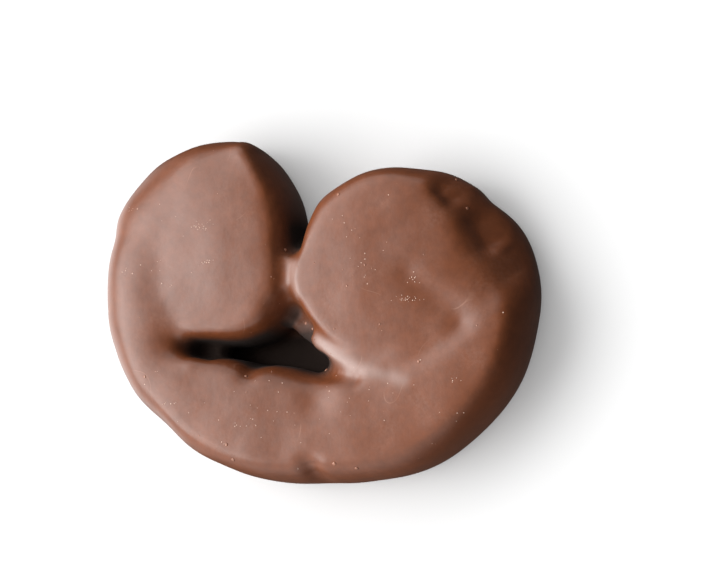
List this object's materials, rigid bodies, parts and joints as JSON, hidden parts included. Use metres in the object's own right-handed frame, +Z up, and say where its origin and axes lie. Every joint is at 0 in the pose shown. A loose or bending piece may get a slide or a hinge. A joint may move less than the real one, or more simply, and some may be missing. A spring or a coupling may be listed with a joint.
{
  "type": "chocolate covered palmier",
  "caption": "Heart-shaped puff pastry palmier, two scrolls joined by a broad bow, enrobed in satin milk chocolate and lying flat.",
  "frame": {"origin": "middle of the footprint's bounding box, on the flat underside", "axes": "+X to the right along the longest side, +Y from the bow towards the tips of the lobes, +Z up out of the shown face"},
  "size_m": [0.0774, 0.06, 0.0157],
  "materials": {
    "milk_chocolate": "satin milk chocolate coat with fine bubbles and faint scuffs"
  },
  "bodies": {
    "root": {"palmier": "milk_chocolate"}
  },
  "joints": []
}
